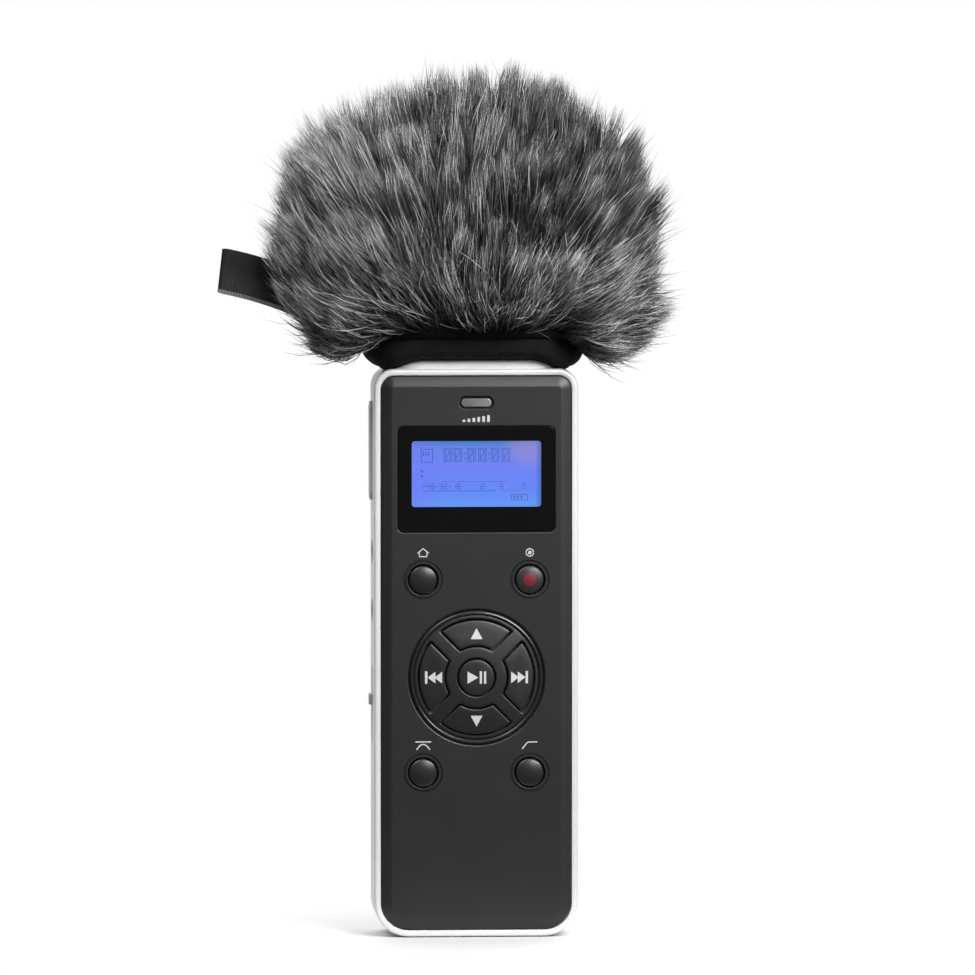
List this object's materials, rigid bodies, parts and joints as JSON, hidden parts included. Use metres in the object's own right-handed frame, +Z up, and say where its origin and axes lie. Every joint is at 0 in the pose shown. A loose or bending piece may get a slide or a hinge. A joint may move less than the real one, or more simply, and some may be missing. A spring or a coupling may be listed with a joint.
{
  "type": "portable field recorder",
  "caption": "Slim handheld audio recorder with a lit display, round keypad, side controls, crossed microphones and a furry slip-on windshield.",
  "frame": {"origin": "centre of the flat base of the body", "axes": "+Z up the recorder's length towards the windshield, -Y out of its front, +X to the right seen from the front"},
  "size_m": [0.1024, 0.066, 0.1906],
  "materials": {
    "silver_shell": "satin",
    "black_panel": "satin",
    "pad_black": "satin",
    "pad_gloss": "gloss",
    "gloss_lens": "gloss",
    "display_glass": "gloss",
    "backlight_white": "matte",
    "light_pipe": "satin",
    "led_white": "gloss",
    "key_black": "satin",
    "record_key": "satin",
    "membrane_rubber": "matte",
    "switch_metal": "satin",
    "side_controls": "satin",
    "steel": "satin",
    "jack_black": "satin",
    "tray_black": "matte",
    "mic_black": "matte",
    "card_black": "matte",
    "door_rubber": "matte",
    "cell_jacket": "satin",
    "board_green": "satin",
    "chip_black": "matte",
    "brass": "satin",
    "speaker_black": "matte",
    "mic_metal": "satin",
    "mic_mesh": "satin",
    "element_gold": "satin",
    "grey_fur": "matte",
    "lining_cloth": "matte",
    "cuff_knit": "matte",
    "label_satin": "satin"
  },
  "bodies": {
    "recorder": {"front_frame": "silver_shell", "rear_shell": "silver_shell", "front_panel": "black_panel", "pad_plate": "pad_black", "pad_ring": "pad_gloss", "lcd_lens": "gloss_lens", "lcd_module": "display_glass", "lcd_backlight": "backlight_white", "peak_light_pipe": "light_pipe", "peak_led": "led_white", "keypad_membrane": "membrane_rubber", "key_switches": "switch_metal", "rocker_switches": "switch_metal", "slide_switch": "switch_metal", "rocker_pin": "steel", "card_socket": "steel", "usb_port": "steel", "battery_springs": "steel", "battery_contacts": "steel", "case_screws": "steel", "headphone_jack": "jack_black", "line_jack": "jack_black", "battery_tray": "tray_black", "mic_base": "mic_black", "memory_card": "card_black", "battery_cells": "cell_jacket", "main_board": "board_green", "board_chips": "chip_black", "tripod_bush": "brass", "speaker": "speaker_black", "left_mic_tube": "mic_metal", "right_mic_tube": "mic_metal", "left_mic_grille": "mic_mesh", "right_mic_grille": "mic_mesh", "left_mic_element": "element_gold", "right_mic_element": "element_gold"},
    "windshield": {"windshield_fur": "grey_fur", "windshield_lining": "lining_cloth", "windshield_cuff": "cuff_knit", "windshield_label": "label_satin"},
    "battery_cover": {"battery_cover": "silver_shell"},
    "volume_rocker": {"volume_rocker": "side_controls"},
    "slide_knob": {"slide_knob": "side_controls"},
    "card_door": {"card_door": "door_rubber"},
    "up_key": {"up_key": "key_black"},
    "down_key": {"down_key": "key_black"},
    "previous_key": {"previous_key": "key_black"},
    "next_key": {"next_key": "key_black"},
    "play_key": {"play_key": "key_black"},
    "home_button": {"home_button": "key_black"},
    "record_button": {"record_button": "record_key"},
    "limiter_button": {"limiter_button": "key_black"},
    "low_cut_button": {"low_cut_button": "key_black"}
  },
  "joints": [
    {"name": "windshield_lift", "type": "slide", "parent": "recorder", "child": "windshield", "axis": [0, 0, 1], "range_m": [0, 0.045]},
    {"name": "battery_cover_slide", "type": "slide", "parent": "recorder", "child": "battery_cover", "axis": [0, 0, -1], "range_m": [0, 0.063]},
    {"name": "volume_tilt", "type": "hinge", "parent": "recorder", "child": "volume_rocker", "pos_m": [-0.01985, 0, 0.10925], "axis": [0, 1, 0], "range_deg": [-3, 3], "stiffness_Nm_per_rad": 0.1},
    {"name": "switch_slide", "type": "slide", "parent": "recorder", "child": "slide_knob", "axis": [0, 0, 1], "range_m": [-0.0025, 0.0025]},
    {"name": "card_door_swing", "type": "hinge", "parent": "recorder", "child": "card_door", "pos_m": [-0.023, 0.0032, 0.02565], "axis": [0, 0, -1], "range_deg": [0, 110]},
    {"name": "up_key_press", "type": "slide", "parent": "recorder", "child": "up_key", "axis": [0, 1, 0], "range_m": [0, 0.0004], "stiffness_N_per_m": 1000, "springref_m": -0.0005},
    {"name": "down_key_press", "type": "slide", "parent": "recorder", "child": "down_key", "axis": [0, 1, 0], "range_m": [0, 0.0004], "stiffness_N_per_m": 1000, "springref_m": -0.0005},
    {"name": "previous_key_press", "type": "slide", "parent": "recorder", "child": "previous_key", "axis": [0, 1, 0], "range_m": [0, 0.0004], "stiffness_N_per_m": 1000, "springref_m": -0.0005},
    {"name": "next_key_press", "type": "slide", "parent": "recorder", "child": "next_key", "axis": [0, 1, 0], "range_m": [0, 0.0004], "stiffness_N_per_m": 1000, "springref_m": -0.0005},
    {"name": "play_key_press", "type": "slide", "parent": "recorder", "child": "play_key", "axis": [0, 1, 0], "range_m": [0, 0.0004], "stiffness_N_per_m": 1000, "springref_m": -0.0005},
    {"name": "home_button_press", "type": "slide", "parent": "recorder", "child": "home_button", "axis": [0, 1, 0], "range_m": [0, 0.0004], "stiffness_N_per_m": 1000, "springref_m": -0.0005},
    {"name": "record_button_press", "type": "slide", "parent": "recorder", "child": "record_button", "axis": [0, 1, 0], "range_m": [0, 0.0004], "stiffness_N_per_m": 1000, "springref_m": -0.0005},
    {"name": "limiter_button_press", "type": "slide", "parent": "recorder", "child": "limiter_button", "axis": [0, 1, 0], "range_m": [0, 0.0004], "stiffness_N_per_m": 1000, "springref_m": -0.0005},
    {"name": "low_cut_button_press", "type": "slide", "parent": "recorder", "child": "low_cut_button", "axis": [0, 1, 0], "range_m": [0, 0.0004], "stiffness_N_per_m": 1000, "springref_m": -0.0005}
  ]
}
